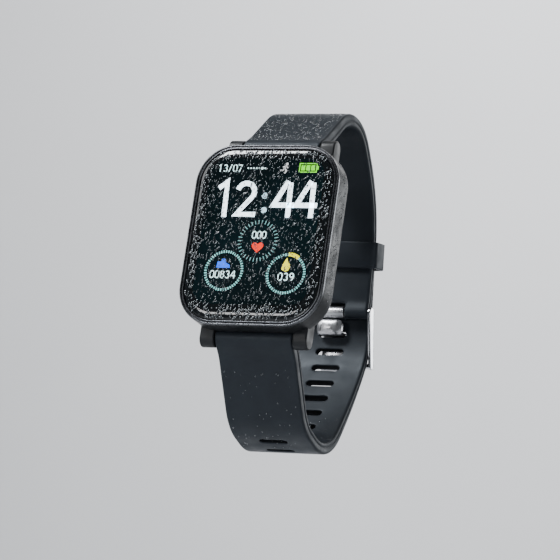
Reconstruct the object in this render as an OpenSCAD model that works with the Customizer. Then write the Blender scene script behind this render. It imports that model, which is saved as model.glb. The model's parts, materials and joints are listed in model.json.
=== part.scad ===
// Smartwatch on a buckled rubber strap, built from separate pieces.
// +X to the wearer's right of the screen, +Y from the screen back to the wrist, +Z to twelve o'clock.
// The origin is the centre of the flat sensor window that rests on the wrist.

/* [Case] */
// Width of the case
case_w = 36.4; // [35.4:0.1:37.4]
// Height of the case without its lugs
case_h = 44.3; // [43.6:0.1:45]
// Corner radius of the case outline
case_corner = 9.3; // [8.6:0.1:9.8]
// Depth from the front rim to the sensor window
case_depth = 10.2; // [10:0.1:10.8]
// Depth at which the side wall starts to curve in to the back, ahead of the wrist face
back_curve_y = 4.6; // [4.4:0.1:4.8]
// How far the back curves in
back_curve_in = 3.2; // [3:0.1:3.4]

/* [Screen] */
// Width of the thin front bezel ring
bezel_w = 1.1; // [0.9:0.1:1.4]
// Thickness of the cover glass
glass_t = 1.05; // [0.9:0.05:1.05]
// How far the glass stands above the bezel
glass_proud = 0.2; // [0.1:0.05:0.3]

/* [Lugs] */
// Gap between each pair of lugs, a standard strap size
lug_gap = 20; // [19.8:0.1:20.2]
// Thickness of one lug
lug_t = 3.6; // [3:0.1:4]
// Radius of the round lug end
lug_r = 2; // [1.9:0.05:2.1]
// Spring bar height from the middle of the case
bar_z = 23.6; // [23.4:0.1:23.8]
// Spring bar depth ahead of the wrist face
bar_depth = 3; // [2.9:0.1:3.1]

/* [Strap] */
// Width of the strap
strap_w = 19.6; // [19.2:0.1:19.8]
// Thickness next to the lugs
strap_t_lug = 3.3; // [3.2:0.1:3.7]
// Thickness at the top and bottom bends
strap_t_bend = 2.8; // [2.5:0.1:3]
// Thickness of the short half behind the wrist
strap_t_back = 2.3; // [2.1:0.1:2.4]
// Thickness of the long half's tail
tail_t = 2; // [1.8:0.1:2.1]
// Width of the tail at its tip
tail_w = 17.6; // [16:0.1:18.4]
// Length of one adjustment slot across the strap
slot_l = 7.2; // [7:0.1:7.6]
// Width of one adjustment slot along the strap
slot_w = 1.75; // [1.7:0.05:1.9]
// Distance between adjustment slots
slot_pitch = 5; // [4.9:0.1:5.1]
// Gap left at each bending line
bend_gap = 0.4; // [0.3:0.1:0.6]

/* [Buckle and keeper] */
// Outer width of the buckle frame
buckle_w = 21.4; // [21.4:0.1:21.8]
// Thickness of each buckle arm
buckle_arm_t = 0.75; // [0.7:0.05:0.8]
// Length from the buckle's bar to its crossbar
buckle_reach = 12.7; // [12.6:0.1:13.2]
// Radius of the crossbar
crossbar_r = 0.65; // [0.55:0.05:0.65]
// Width of the tongue's blade
tongue_w = 6.4; // [5.8:0.1:6.6]
// Thickness of the tongue's blade
tongue_t = 0.8; // [0.7:0.05:0.85]
// Length of the keeper along the strap
keeper_l = 6.4; // [6:0.1:6.6]
// Wall of the keeper
keeper_wall = 0.95; // [0.85:0.05:1.1]

/* [Hidden] */
$fn = 64;
e = 0.01;

// Case levels along Y, all ahead of the wrist face at 0
front_y = -case_depth;
case_front_y = front_y + 1;
glass_front_y = front_y - glass_proud;
glass_back_y = glass_front_y + glass_t;
display_back_y = glass_back_y + 1.15;
chassis_y = display_back_y + 0.05;
board_y = chassis_y + 0.8;
board_t = 0.7;
battery_y = board_y + board_t + 0.1;
battery_back_y = -3.3;
case_back_y = -1.6;
cavity_back_y = -3;
lid_y = case_back_y + 0.15;
lid_back_y = -0.95;
lid_plug_y = -2.2;
window_front_y = -1.9;
sensor_y = -3.1;
sensor_t = 0.5;

// Reach of each outline beyond the case's corner centres
ax = case_w / 2 - case_corner;
az = case_h / 2 - case_corner;
bezel_reach = case_corner - bezel_w;
glass_reach = bezel_reach - 0.12;
ledge_reach = case_corner - 3.2;
display_reach = ledge_reach - 0.2;
cavity_reach = case_corner - 2;
lid_reach = case_corner - back_curve_in - 0.2;
opening_reach = 3.7;
plug_reach = opening_reach - 0.1;
window_r = 8;
screw_reach = 4.8;
screw_x = ax + screw_reach * cos(45);
screw_z = az + screw_reach * sin(45);
pad_z = 12.4;
pad_x = [-4.5, -1.5, 1.5, 4.5];
motor_x = 8;
motor_z = 11.6;
motor_r = 4;
motor_y = -6.2;
motor_back_y = -3.5;

// Spring bars
tube_r = 0.85;
tip_r = 0.45;
tip_hole_r = 0.5;
open_tip_hole_r = 0.6;
tip_end = 11;
hole_end = 11.3;
barrel_r = 2.1;
scoop_r = 2.45;
lever_x = 6.6;
release_travel = 1.5;

// Strap routes: each segment is [length, turn in degrees]; a right-hand turn is negative.
// The short half runs from the upper lug over the top bend to the buckle's bar.
lean = 6.8;
top_heading = 45;
top_offset = 1.75;
upper_r = 13.2;
upper_back_r = 37.7;
back_run = 13.1;
function arc(r, turn) = [r * turn * PI / 180, -turn];
short_route = [
    [13.58, 0], arc(upper_r, 2 * top_heading), [4, 0],
    arc(upper_back_r, 90 - lean - top_heading), [back_run, 0],
];
short_start = [-bar_depth - top_offset * sin(top_heading), bar_z + top_offset * cos(top_heading)];
short_len = route_length(short_route);
route_step = 1.5;
short_bend_s = 50;
short_t = [
    [0, strap_t_lug], [12, strap_t_lug], [26, strap_t_bend],
    [42, strap_t_bend], [60, strap_t_back], [short_len, strap_t_back],
];

// The buckle's bar lies inside the end of the short half; local axes there are x, outward, upward.
bar_inset = 1.35;
short_end = route_at(short_route, short_start, top_heading, short_len);
buckle_y = short_end.x - bar_inset * cos(lean);
buckle_z = short_end.y - bar_inset * sin(lean);

// The long half runs from its tip, down the outside of the short half, round the bottom bend
// and up to the lower lug.
tail_gap = 0.25;
tail_out = bar_inset + tail_gap + tail_t;
tail_turn = 9.5;
tail_start_r = upper_back_r + tail_gap + tail_t;
arc_centre = route_at(short_route, short_start, top_heading, short_len - back_run)
    - upper_back_r * [cos(lean), sin(lean), 0, 0];
long_heading = lean - 90 + tail_turn;
long_start = [
    arc_centre.x - tail_start_r * sin(long_heading),
    arc_centre.y + tail_start_r * cos(long_heading),
];
tail_arc = arc(tail_start_r, tail_turn);
tongue_u = 5.2;
long_route = [
    tail_arc, [back_run + 4.5, 0], arc(23, 28), arc(120, 10),
    arc(12.9, 71), [3, 0], arc(13.2, 40.3), [17.6, 0],
];
long_end = route_at(long_route, long_start, long_heading, route_length(long_route));
// The strip stops inside the round lug end, short of its bore
long_len = route_length(long_route) - 1.25;
tongue_slot_s = tail_arc.x + back_run + tongue_u;
long_bend_s = tongue_slot_s + 3.5 * slot_pitch;
first_slot = -3;
last_slot = 10;
long_t = [
    [0, tail_t], [35, tail_t], [58, strap_t_bend],
    [78, strap_t_bend], [92, strap_t_lug], [long_len, strap_t_lug],
];

// Buckle
buckle_tube_r = 0.75;
end_barrel_r = 1.5;
tongue_barrel_r = 1.45;
tongue_barrel_l = 7;
notch_l = 7.5;
notch_top = 2.3;
crossbar_n = 3.05;
crossbar_drop = sqrt(pow(buckle_reach, 2) - pow(crossbar_n, 2)) + 0.3;
blade_n = crossbar_n + crossbar_r + 0.1;
arm_in = buckle_w / 2 - buckle_arm_t;
arm_r = 1.3;
pad_l = 5.8;
pad_corner_r = 1.5;
// The keeper sits a little askew on the two layers that it holds
keeper_u = 14.3;
keeper_tilt = 4.5;
keeper_n = 1.325;
keeper_half_n = 2.675;
keeper_in_w = strap_w / 2 + 0.3;

// Length of a route, its end after one segment, and [y, z, heading, distance] anywhere on it
function route_length(route, i = 0) = i == len(route) ? 0 : route[i].x + route_length(route, i + 1);
function step_point(p, h, seg, d) =
    let (turned = seg.y * d / seg.x, r = seg.y == 0 ? 0 : seg.x / (seg.y * PI / 180))
    seg.y == 0
        ? p + d * [cos(h), sin(h)]
        : p + r * [-sin(h), cos(h)] + r * [sin(h + turned), -cos(h + turned)];
function route_at(route, p, h, s, i = 0, done = 0) =
    let (seg = route[i], d = s - done)
    d <= seg.x || i == len(route) - 1
        ? let (q = step_point(p, h, seg, d)) [q.x, q.y, h + seg.y * d / seg.x, s]
        : route_at(route, step_point(p, h, seg, seg.x), h + seg.y, s, i + 1, done + seg.x);
function outward(q) = [-sin(q[2]), cos(q[2])];
function face_point(q, depth) = [q.x, q.y] - depth * outward(q);

// A flat strip of strap between two distances on its route, with its own thickness table
module strap_strip(route, start, heading, from, to, thick) {
    steps = ceil((to - from) / route_step);
    marks = [for (k = [0:steps]) route_at(route, start, heading, from + (to - from) * k / steps)];
    outer = [for (q = marks) face_point(q, 0)];
    inner = [for (k = [steps:-1:0]) face_point(marks[k], lookup(marks[k][3], thick))];
    across(strap_w) polygon(concat(outer, inner));
}

// Extrudes a (y, z) outline across the object, centred on X
module across(width) {
    rotate([90, 0, 90]) translate([0, 0, -width / 2]) linear_extrude(width) children();
}
module rod_x(r, from, to) {
    translate([from, 0, 0]) rotate([0, 90, 0]) cylinder(r = r, h = to - from);
}
module rod_y(r, from, to) {
    translate([0, from, 0]) rotate([-90, 0, 0]) cylinder(r = r, h = to - from);
}
module block(x, y, z) {
    translate([x[0], y[0], z[0]]) cube([x[1] - x[0], y[1] - y[0], z[1] - z[0]]);
}

// A rounded rectangle whose edge follows a profile of [reach, y] points
module rim_block(profile) {
    first = profile[0];
    last = profile[len(profile) - 1];
    half = concat(profile, [[0, last.y], [0, first.y]]);
    for (x = [-ax, ax], z = [-az, az])
        translate([x, 0, z]) rotate([-90, 0, 0]) rotate_extrude() polygon(half);
    translate([0, 0, -az]) linear_extrude(2 * az) polygon(mirrored(profile, ax));
    rotate([0, 90, 0]) translate([0, 0, -ax]) linear_extrude(2 * ax) polygon(mirrored(profile, az));
}
function mirrored(profile, half) = concat(
    [for (p = profile) [half + p.x, p.y]],
    [for (k = [len(profile) - 1:-1:0]) [-half - profile[k].x, profile[k].y]]
);
module rim_slab(reach, from, to) {
    rim_block([[reach, from], [reach, to]]);
}

module front_bezel() {
    color("#26282b") difference() {
        rim_block([
            [case_corner - 0.4, front_y], [case_corner - 0.12, front_y + 0.12],
            [case_corner, front_y + 0.4], [case_corner, case_front_y],
        ]);
        rim_slab(bezel_reach, front_y - 1, case_front_y + 1);
    }
}
module cover_glass() {
    color("#0c1014") rim_block([
        [glass_reach - 1.4, glass_front_y], [glass_reach - 0.6, glass_front_y + 0.06],
        [glass_reach - 0.15, glass_front_y + 0.2], [glass_reach, glass_front_y + 0.45],
        [glass_reach, glass_back_y],
    ]);
}
module glass_adhesive() {
    color("#3a3d42") difference() {
        rim_slab(glass_reach - 0.3, glass_back_y, case_front_y);
        rim_slab(ledge_reach + 0.1, glass_back_y - 1, case_front_y + 1);
    }
}
module display_panel() {
    color("#101c22") rim_slab(display_reach, glass_back_y, display_back_y);
}
module display_flex() {
    color("#b36b1e") block([-4, 4], [display_back_y, board_y], [-17.2, -17]);
}
module inner_chassis() {
    color("#8d9297") difference() {
        rim_slab(cavity_reach - 0.15, chassis_y, chassis_y + 0.6);
        block([-5, 5], [chassis_y - 1, chassis_y + 1], [-17.8, -16.4]);
        block([-9, 9], [chassis_y - 1, chassis_y + 1], [-8, 8]);
    }
}
module case_body() {
    color("#17191c") difference() {
        union() {
            rim_block(concat(
                [[case_corner, case_front_y]],
                [for (t = [0:9:90]) [
                    case_corner - back_curve_in * (1 - cos(t)),
                    -back_curve_y + (case_back_y + back_curve_y) * sin(t),
                ]]
            ));
            for (side = [-1, 1], end = [-1, 1]) lug(side, end);
        }
        rim_slab(ledge_reach, case_front_y - 1, cavity_back_y - 1);
        rim_slab(cavity_reach, case_front_y + 0.6, cavity_back_y);
        rim_slab(opening_reach, cavity_back_y - 1, 1);
        for (end = [-1, 1]) {
            translate([0, -bar_depth, end * bar_z]) {
                rod_x(scoop_r, -lug_gap / 2, lug_gap / 2);
                rod_x(end > 0 ? tip_hole_r : open_tip_hole_r, -hole_end, hole_end);
            }
            for (side = [-1, 1]) translate([side * screw_x, 0, end * screw_z]) rod_y(0.5, -3.6, 0);
        }
    }
}
module lug(side, end) {
    lug_in = lug_gap / 2;
    lug_x = side > 0 ? lug_in : -lug_in - lug_t;
    inner_z = az + lid_reach + 0.25;
    translate([lug_x, -bar_depth, end * bar_z]) rod_x(lug_r, 0, lug_t);
    translate([lug_x, -bar_depth - lug_r, end > 0 ? inner_z : -bar_z])
        cube([lug_t, 2 * lug_r, bar_z - inner_z]);
}
module main_board() {
    color("#1d5a36") rim_slab(cavity_reach - 0.7, board_y, board_y + board_t);
}
module board_shields() {
    color("#b9bdc2") for (x = [[-13, -5.5], [-4.8, 2.8]])
        block(x, [board_y + board_t, board_y + board_t + 1], [6.2, 17]);
}
module battery() {
    color("#7c8794") block([-12.4, 12.4], [battery_y, battery_back_y], [-17.2, 4.8]);
}
module antenna_strip() {
    color("#c08a3e") block([-9, 9], [-6.3, -4.1], [19.2, 19.7]);
}
module vibration_motor_can() {
    color("#c9ccd0") translate([motor_x, 0, motor_z]) difference() {
        rod_y(motor_r, motor_y, motor_back_y);
        rod_y(motor_r - 0.3, motor_y + 0.3, motor_back_y - 0.3);
        rod_y(0.4, motor_back_y - 1, motor_back_y + 1);
    }
}
module motor_shaft() {
    color("#dfe2e5") translate([motor_x, 0, motor_z]) rod_y(0.4, motor_y + 0.3, motor_back_y);
}
module vibration_rotor() {
    color("#8a7a52") translate([motor_x, 0, motor_z]) difference() {
        union() {
            rod_y(1, motor_y + 0.5, motor_back_y - 0.5);
            intersection() {
                rod_y(motor_r - 0.5, motor_y + 0.5, motor_back_y - 0.5);
                block([-motor_r, motor_r], [motor_y, motor_back_y], [-motor_r, 0]);
            }
        }
        rod_y(0.45, motor_y, motor_back_y);
    }
}
module rear_cover() {
    color("#1c1e21") difference() {
        union() {
            rim_block([
                [lid_reach, lid_y], [lid_reach - 0.1, lid_back_y - 0.2],
                [lid_reach - 0.5, lid_back_y],
            ]);
            rim_slab(plug_reach, lid_plug_y, lid_y + e);
        }
        rod_y(window_r + 0.05, lid_plug_y - 1, 0);
        for (x = pad_x) translate([x, 0, pad_z]) rod_y(0.92, lid_plug_y - 1, 0);
        for (x = [-screw_x, screw_x], z = [-screw_z, screw_z]) translate([x, 0, z]) {
            rod_y(0.55, lid_plug_y - 1, 0);
            rod_y(0.95, lid_back_y - 0.3, 0);
        }
    }
}
module rear_gasket() {
    color("#33415a") difference() {
        rim_slab(opening_reach + 0.5, case_back_y, lid_y);
        rim_slab(opening_reach + 0.05, case_back_y - 1, lid_y + 1);
    }
}
module rear_screws() {
    color("#a9adb1") for (x = [-screw_x, screw_x], z = [-screw_z, screw_z]) translate([x, 0, z]) {
        rod_y(0.48, cavity_back_y + 0.1, lid_back_y - 0.3);
        rod_y(0.9, lid_back_y - 0.3, lid_back_y);
    }
}
module sensor_window() {
    color("#15181c") rotate([-90, 0, 0]) rotate_extrude() polygon([
        [0, window_front_y], [window_r, window_front_y], [window_r, lid_back_y + 0.1],
        [window_r - 0.4, lid_back_y + 0.6], [window_r - 1.4, -0.05], [window_r - 2, 0], [0, 0],
    ]);
}
module sensor_board() {
    color("#1d5a36") rod_y(window_r - 0.6, sensor_y, sensor_y + sensor_t);
}
module sensor_leds() {
    color("#58e06b") for (a = [0:90:270]) rotate([0, a, 0])
        block([2.2, 3.8], [sensor_y + sensor_t, window_front_y - 0.1], [-0.8, 0.8]);
}
module light_detector() {
    color("#3b2c5c") block([-1.2, 1.2], [sensor_y + sensor_t, window_front_y - 0.1], [-1.2, 1.2]);
}
module charging_pads() {
    color("#d8b25a") for (x = pad_x) translate([x, 0, pad_z])
        rod_y(0.9, lid_plug_y - 0.3, lid_back_y - 0.02);
}
module charge_magnets() {
    color("#9a9ea3") for (x = [-8.6, 8.6]) translate([x, 0, pad_z])
        rod_y(1.6, lid_plug_y - 0.7, lid_plug_y);
}

// Spring bar lying along X, with its lever slot facing local +Y
module bar_tube() {
    difference() {
        union() {
            rod_x(tube_r, -9.3, 9.3);
            rod_x(tip_r, -tip_end, -9);
        }
        rod_x(0.55, 3.2, 10);
        block([lever_x - release_travel - 0.4, lever_x + 0.4], [0, 2], [-0.4, 0.4]);
    }
}
module release_tip() {
    rod_x(0.5, 4.9, 9.4);
    rod_x(tip_r, 9.3, tip_end);
    translate([lever_x, 0, 0]) {
        rod_y(0.32, 0, 2.4);
        rod_y(0.6, 2.25, 2.85);
    }
}
module lever_window() {
    block([lever_x - release_travel - 0.9, lever_x + 0.9], [0, 4], [-0.75, 0.75]);
}
module at_top_bar() {
    translate([0, -bar_depth, bar_z]) rotate([-top_heading, 0, 0]) children();
}
module at_bottom_bar() {
    translate([0, -bar_depth, -bar_z]) rotate([long_end[2] + 270, 0, 0]) children();
}
module top_bar_tube() {
    color("#b5b8bc") at_top_bar() bar_tube();
}
module top_release_tip() {
    color("#cfd2d5") at_top_bar() release_tip();
}
module bottom_bar_tube() {
    color("#b5b8bc") at_bottom_bar() bar_tube();
}
module bottom_release_tip() {
    color("#cfd2d5") at_bottom_bar() release_tip();
}

// Local frame of the buckle's bar: x, outward from the wrist, up along the strap
module at_buckle() {
    translate([0, buckle_y, buckle_z]) rotate([lean, 0, 0]) children();
}
module short_strip(from, to) {
    strap_strip(short_route, short_start, top_heading, from, to, short_t);
}
module long_strip(from, to) {
    strap_strip(long_route, long_start, long_heading, from, to, long_t);
}
module strap_short_arch() {
    color("#1f252d") difference() {
        union() {
            short_strip(0, short_bend_s - bend_gap / 2);
            at_top_bar() rod_x(barrel_r, -strap_w / 2, strap_w / 2);
        }
        at_top_bar() {
            rod_x(tube_r + 0.03, -strap_w, strap_w);
            lever_window();
        }
    }
}
module strap_short_back() {
    color("#1f252d") difference() {
        union() {
            short_strip(short_bend_s + bend_gap / 2, short_len);
            at_buckle() rod_x(end_barrel_r, -strap_w / 2, strap_w / 2);
        }
        at_buckle() {
            rod_x(buckle_tube_r + 0.03, -strap_w, strap_w);
            block([-notch_l / 2, notch_l / 2], [-4, 4], [-4, notch_top]);
        }
    }
}
module adjustment_slots(from, to) {
    for (k = [from:to]) {
        q = route_at(long_route, long_start, long_heading, tongue_slot_s + k * slot_pitch);
        straight = slot_l / 2 - slot_w / 2;
        translate([0, q.x, q.y]) rotate([q[2] + 90, 0, 0]) {
            block([-straight, straight], [-5, 2], [-slot_w / 2, slot_w / 2]);
            for (x = [-straight, straight]) translate([x, 0, 0]) rod_y(slot_w / 2, -5, 2);
        }
    }
}
module tail_trim() {
    trim = (strap_w - tail_w) / 2;
    trim_l = 30;
    for (side = [-1, 1]) at_buckle()
        translate([side * (tail_w / 2 + 5), 0, back_run + tail_arc.x])
            rotate([0, side * atan(trim / trim_l), 0]) block([-5, 5], [-9, 9], [-trim_l, 3]);
}
module strap_long_back() {
    color("#1f252d") difference() {
        long_strip(0, long_bend_s - bend_gap / 2);
        adjustment_slots(first_slot, 3);
        tail_trim();
    }
}
module strap_long_lower() {
    color("#1f252d") difference() {
        union() {
            long_strip(long_bend_s + bend_gap / 2, long_len);
            at_bottom_bar() rod_x(barrel_r, -strap_w / 2, strap_w / 2);
        }
        adjustment_slots(4, last_slot);
        at_bottom_bar() {
            rod_x(tube_r + 0.03, -strap_w, strap_w);
            lever_window();
        }
    }
}
module strap_keeper() {
    outer_w = keeper_in_w + keeper_wall;
    outer_n = keeper_half_n + keeper_wall;
    color("#1b2028") at_buckle() translate([0, keeper_n, keeper_u]) rotate([keeper_tilt, 0, 0])
        difference() {
            block([-outer_w, outer_w], [-outer_n, outer_n], [-keeper_l / 2, keeper_l / 2]);
            block([-keeper_in_w, keeper_in_w], [-keeper_half_n, keeper_half_n], [-keeper_l, keeper_l]);
        }
}
module buckle_bar() {
    color("#b5b8bc") at_buckle() difference() {
        rod_x(buckle_tube_r, -arm_in + 0.2, arm_in - 0.2);
        rod_x(0.55, -20, -6);
        rod_x(0.55, 6, 20);
    }
}
module buckle_tip(side) {
    color("#cfd2d5") at_buckle() mirror([side < 0 ? 1 : 0, 0, 0]) {
        rod_x(0.5, 7.4, arm_in - 0.3);
        rod_x(tip_r, 7.4, arm_in + 0.45);
    }
}
module buckle_tip_left() {
    buckle_tip(-1);
}
module buckle_tip_right() {
    buckle_tip(1);
}
module buckle_frame() {
    slope = atan2(-crossbar_drop, crossbar_n);
    side = [-sin(slope), cos(slope)];
    tip = [crossbar_n, -crossbar_drop];
    tip_r2 = crossbar_r + 0.15;
    outline = [arm_r * side, tip + tip_r2 * side, tip - tip_r2 * side, -arm_r * side];
    color("#c8cacc") at_buckle() {
        for (x = [-buckle_w / 2, arm_in]) difference() {
            union() {
                translate([x + buckle_arm_t / 2, 0, 0]) across(buckle_arm_t) polygon(outline);
                rod_x(arm_r, x, x + buckle_arm_t);
                translate([0, tip.x, tip.y]) rod_x(tip_r2, x, x + buckle_arm_t);
            }
            rod_x(tip_hole_r, -arm_in - 0.6, arm_in + 0.6);
        }
        translate([0, tip.x, tip.y]) rod_x(crossbar_r, -arm_in - e, arm_in + e);
    }
}
module buckle_tongue() {
    riser_u = -tongue_u;
    blade_end = -crossbar_drop - 1.3;
    pad_corner_x = tongue_barrel_l / 2 - pad_corner_r;
    color("#b9bbbd") at_buckle() difference() {
        union() {
            rod_x(tongue_barrel_r, -tongue_barrel_l / 2, tongue_barrel_l / 2);
            block([-tongue_barrel_l / 2, tongue_barrel_l / 2], [-0.6, 0.5],
                [-pad_l + pad_corner_r, 0]);
            block([-pad_corner_x, pad_corner_x], [-0.6, 0.5], [-pad_l, -pad_l + 1.6]);
            for (x = [-pad_corner_x, pad_corner_x]) translate([x, 0, -pad_l + pad_corner_r])
                rod_y(pad_corner_r, -0.6, 0.5);
            block([-tongue_w / 2, tongue_w / 2], [0, blade_n + tongue_t],
                [riser_u - tongue_t / 2, riser_u + tongue_t / 2]);
            block([-tongue_w / 2, tongue_w / 2], [blade_n, blade_n + tongue_t],
                [blade_end + 1.5, riser_u]);
            block([-tongue_w / 2 + 1.5, tongue_w / 2 - 1.5], [blade_n, blade_n + tongue_t],
                [blade_end, blade_end + 1.6]);
            for (x = [-1, 1]) translate([x * (tongue_w / 2 - 1.5), 0, blade_end + 1.5])
                rod_y(1.5, blade_n, blade_n + tongue_t);
        }
        rod_x(buckle_tube_r + 0.05, -9, 9);
    }
}

front_bezel();
cover_glass();
glass_adhesive();
display_panel();
display_flex();
inner_chassis();
case_body();
main_board();
board_shields();
battery();
antenna_strip();
vibration_motor_can();
motor_shaft();
vibration_rotor();
rear_cover();
rear_gasket();
rear_screws();
sensor_window();
sensor_board();
sensor_leds();
light_detector();
charging_pads();
charge_magnets();
top_bar_tube();
top_release_tip();
bottom_bar_tube();
bottom_release_tip();
strap_short_arch();
strap_short_back();
strap_long_back();
strap_long_lower();
strap_keeper();
buckle_bar();
buckle_tip_left();
buckle_tip_right();
buckle_frame();
buckle_tongue();
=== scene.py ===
import json
import math
import random
from collections import namedtuple

import bmesh
import bpy
import numpy as np
from mathutils import Matrix, Vector
from mathutils.geometry import delaunay_2d_cdt


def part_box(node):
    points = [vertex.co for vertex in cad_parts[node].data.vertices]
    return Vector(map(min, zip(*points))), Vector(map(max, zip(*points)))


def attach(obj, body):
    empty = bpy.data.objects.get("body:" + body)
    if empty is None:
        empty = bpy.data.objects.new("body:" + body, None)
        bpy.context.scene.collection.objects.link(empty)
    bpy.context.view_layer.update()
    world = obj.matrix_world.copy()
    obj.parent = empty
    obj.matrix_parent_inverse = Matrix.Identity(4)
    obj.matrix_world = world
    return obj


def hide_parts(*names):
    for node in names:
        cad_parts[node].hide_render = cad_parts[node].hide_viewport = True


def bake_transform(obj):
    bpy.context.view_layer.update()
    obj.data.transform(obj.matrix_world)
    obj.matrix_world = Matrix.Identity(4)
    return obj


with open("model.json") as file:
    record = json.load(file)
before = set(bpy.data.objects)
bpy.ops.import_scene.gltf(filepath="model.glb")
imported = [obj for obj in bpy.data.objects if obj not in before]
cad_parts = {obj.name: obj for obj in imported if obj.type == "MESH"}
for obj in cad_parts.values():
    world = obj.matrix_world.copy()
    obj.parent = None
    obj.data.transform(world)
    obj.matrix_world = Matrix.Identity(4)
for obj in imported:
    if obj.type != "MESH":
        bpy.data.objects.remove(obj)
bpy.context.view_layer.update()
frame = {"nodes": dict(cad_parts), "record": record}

# Sizes are in millimetres unless a name says otherwise; MM turns them into metres.
MM = 0.001
RNG = random.Random(11)
JOINTS = {j["name"]: j for j in frame["record"]["behaviour"]["joints"]}


def joint_yz(name):
    """The (y, z) place of a hinge whose axis runs along X."""
    return JOINTS[name]["pos_m"][1] / MM, JOINTS[name]["pos_m"][2] / MM


def node_box(name):
    """Lowest and highest corner of a CAD node in millimetres."""
    low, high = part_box(name)
    return [v / MM for v in low], [v / MM for v in high]


# ---------------- driving dimensions
# Case: the outline, and the levels along Y that the frame gives
BEZEL_LOW, BEZEL_HIGH = node_box("front_bezel")
CASE_CORNER = 9.3
CORE_X = (BEZEL_HIGH[0] - BEZEL_LOW[0]) / 2 - CASE_CORNER
CORE_Z = (BEZEL_HIGH[2] - BEZEL_LOW[2]) / 2 - CASE_CORNER
FRONT_Y = BEZEL_LOW[1]
CASE_FRONT_Y = BEZEL_HIGH[1]
GLASS_LOW, GLASS_HIGH = node_box("cover_glass")
GLASS_FRONT_Y = GLASS_LOW[1]
GLASS_BACK_Y = GLASS_HIGH[1]
GLASS_REACH = GLASS_HIGH[0] - CORE_X
GLASS_EDGE = 2.6
GLASS_DROP = 0.42
BACK_CURVE_Y = -4.6
BACK_CURVE_IN = 3.2
CASE_BACK_Y = -1.6
BACK_OPENING_IN = 5.6
BACK_LIP_T = 1.4
FRONT_SEAT_W = 1.2
LUG_IN = 10.0
LUG_T = 3.6
LUG_R = 2.0
BAR_Y, BAR_Z = joint_yz("top_lug_hinge")

# Strap: offsets and insets are measured from the route line, which is its outer face.
# LEAN is the back's tilt from upright and TOP_HEADING the slope at the upper lugs, in degrees.
STRAP_HALF = 9.8
LEAN = 6.8
TOP_HEADING = 45.0
TOP_OFFSET = 1.75
BOTTOM_OFFSET = 1.3
UPPER_BACK_R = 37.7
BACK_RUN = 13.1
BAR_INSET = 1.35
LUG_BARREL_R = 2.1
END_BARREL_R = 1.5
TAIL_T = 2.0
TAIL_OUT = BAR_INSET + 0.25 + TAIL_T
TAIL_TURN = 9.5
TAIL_TIP_HALF = 8.8
TAIL_TIP_R = 5.5
TAIL_TAPER = 34
SLOT_HALF = 3.6
SLOT_R = 0.875
SLOT_PITCH = 5.0
SLOTS = range(-3, 11)
WINDOW_X = (4.1, 7.6)
WINDOW_HALF = 0.75

# Buckle and keeper, on the buckle bar's axes: x across, n outward, u up along the strap
BUCKLE_Y, BUCKLE_Z = joint_yz("buckle_frame_hinge")
CROSSBAR_N = 3.05
CROSSBAR_U = -12.63
CROSSBAR_RN = 0.63
CROSSBAR_RU = 0.66
CROSSBAR_SWELL = 0.12
SWELL_RUN = 1.2
ARM_OUT = 10.7
ARM_T = 0.75
ARM_PIVOT_R = 1.3
ARM_TIP_R = 0.82
TONGUE_U = -5.2
TONGUE_HALF = 3.5
TONGUE_BARREL_R = 1.45
BLADE_HALF = 3.2
BLADE_N = CROSSBAR_N + 0.75
BLADE_T = 0.8
NOTCH_HALF = 3.75
NOTCH_TOP = 2.3
KEEPER_U = 14.3
KEEPER_N = 1.325
KEEPER_TILT = 4.5
KEEPER_L = 6.4
KEEPER_WALL = 0.95
KEEPER_HALF_X = STRAP_HALF + 0.25
KEEPER_HALF_N = 2.6
KEEPER_CORNER = 0.7
KEEPER_EDGE_R = 0.26

# Lit part of the glass, from the case's centre
DIAL_HALF_W = 14.6
DIAL_LOW = -17.2
DIAL_HIGH = 18.6
DIAL_CORNER = 4.2


# ---------------- small helpers
def smooth(t):
    t = min(max(t, 0.0), 1.0)
    return t * t * (3 - 2 * t)


def unit(degrees):
    """(cosine, sine) of an angle."""
    return math.cos(math.radians(degrees)), math.sin(math.radians(degrees))


def add_object(name, verts_mm, faces, body, material, sharp=None, smooth_faces=True):
    """One mesh piece from points in millimetres, riding on a body; edges past an angle stay sharp."""
    mesh = bpy.data.meshes.new(name)
    mesh.from_pydata([tuple(c * MM for c in v) for v in verts_mm], [], faces)
    mesh.validate()
    work = bmesh.new()
    work.from_mesh(mesh)
    bmesh.ops.recalc_face_normals(work, faces=work.faces)
    if sharp:
        for edge in work.edges:
            if len(edge.link_faces) == 2 and edge.calc_face_angle(0) > math.radians(sharp):
                edge.smooth = False
    work.to_mesh(mesh)
    work.free()
    for poly in mesh.polygons:
        poly.use_smooth = smooth_faces
    obj = bpy.data.objects.new(name, mesh)
    bpy.context.scene.collection.objects.link(obj)
    mesh.materials.append(material)
    if body:
        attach(obj, body)
    return obj


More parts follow.
